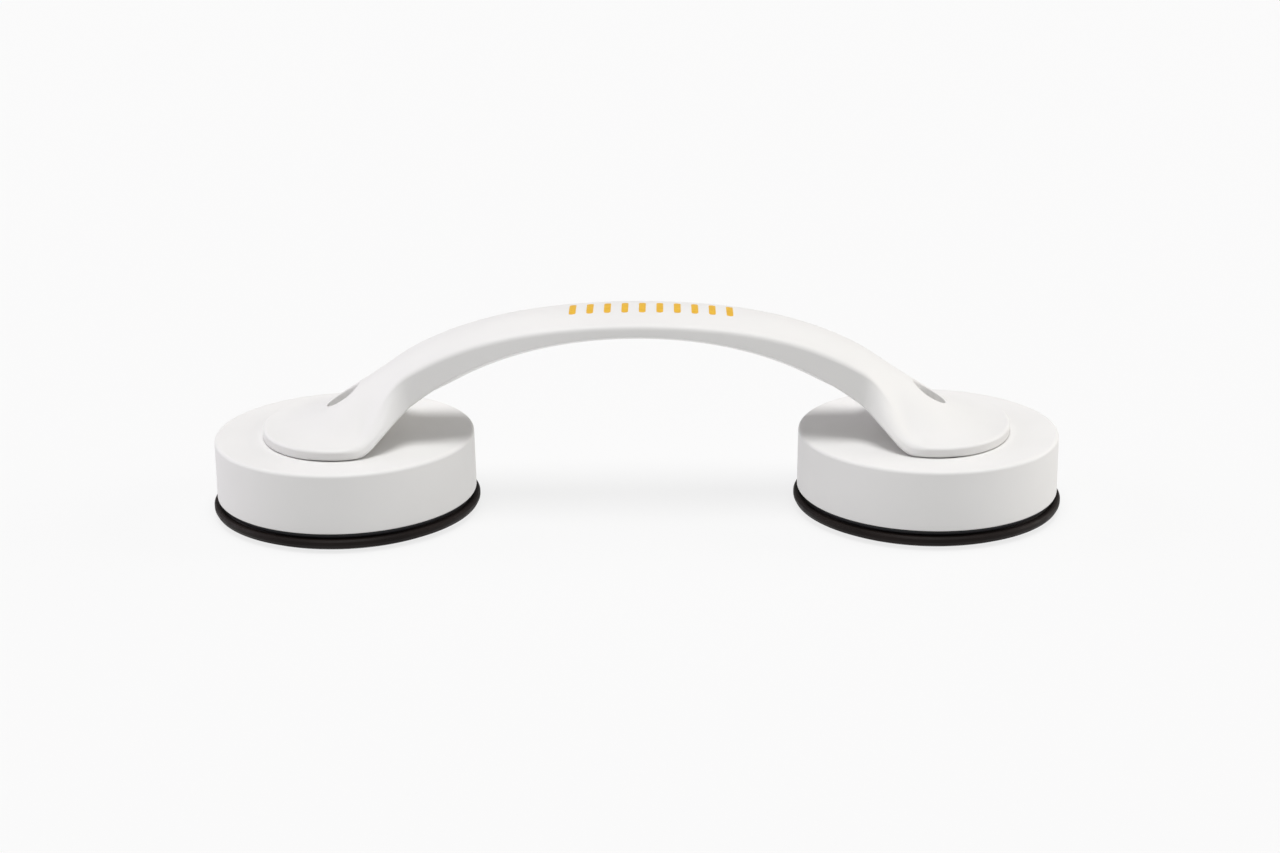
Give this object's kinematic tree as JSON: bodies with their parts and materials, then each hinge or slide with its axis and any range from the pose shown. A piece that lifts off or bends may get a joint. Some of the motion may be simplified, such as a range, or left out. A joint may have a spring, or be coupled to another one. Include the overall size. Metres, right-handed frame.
{
  "type": "suction grab bar",
  "caption": "Arched white plastic grab bar on round quarter-turn suction cups with black rubber discs, for holding on to a smooth wall.",
  "frame": {"origin": "on the wall plane, midway between the two cups", "axes": "+X along the bar, +Y across it, +Z away from the wall"},
  "size_m": [0.2915, 0.0914, 0.07],
  "materials": {
    "white_plastic": "satin gloss",
    "cover_plastic": "fine matt",
    "black_rubber": "matt",
    "black_plastic": "matt",
    "cam_plastic": "matt",
    "core_plastic": "matt",
    "nylon": "satin",
    "zinc": "zinc plated",
    "steel": "stainless",
    "spring_steel": "drawn wire"
  },
  "bodies": {
    "handle": {"handle_shell": "white_plastic", "lower_cover": "cover_plastic", "cover_screws": "steel", "left_guide_core": "core_plastic", "left_friction_washer": "nylon", "left_thrust_washer": "nylon", "left_slip_ring": "black_plastic", "left_suction_disc": "black_rubber", "left_return_spring": "spring_steel", "left_centre_screw": "steel", "left_screw_washer": "steel", "right_guide_core": "core_plastic", "right_friction_washer": "nylon", "right_thrust_washer": "nylon", "right_slip_ring": "black_plastic", "right_suction_disc": "black_rubber", "right_return_spring": "spring_steel", "right_centre_screw": "steel", "right_screw_washer": "steel"},
    "left_turning_cup": {"left_housing": "white_plastic", "left_cam_ring": "cam_plastic"},
    "left_lifting_stud": {"left_stud": "zinc", "left_cross_pin": "steel"},
    "right_turning_cup": {"right_housing": "white_plastic", "right_cam_ring": "cam_plastic"},
    "right_lifting_stud": {"right_stud": "zinc", "right_cross_pin": "steel"}
  },
  "joints": [
    {"name": "left_lock_turn", "type": "hinge", "parent": "handle", "child": "left_turning_cup", "pos_m": [-0.1, 0, 0.0269], "axis": [0, 0, -1], "range_deg": [0, 90]},
    {"name": "left_stud_lift", "type": "slide", "parent": "handle", "child": "left_lifting_stud", "axis": [0, 0, 1], "range_m": [0, 0.003], "deforming": ["left_return_spring", "left_suction_disc"]},
    {"name": "right_lock_turn", "type": "hinge", "parent": "handle", "child": "right_turning_cup", "pos_m": [0.1, 0, 0.0269], "axis": [0, 0, -1], "range_deg": [0, 90]},
    {"name": "right_stud_lift", "type": "slide", "parent": "handle", "child": "right_lifting_stud", "axis": [0, 0, 1], "range_m": [0, 0.003], "deforming": ["right_return_spring", "right_suction_disc"]}
  ],
  "couplings": [
    {"joint": "left_stud_lift", "follows": "left_lock_turn", "m_per_rad": 0.0019098},
    {"joint": "right_stud_lift", "follows": "right_lock_turn", "m_per_rad": 0.0019098}
  ]
}
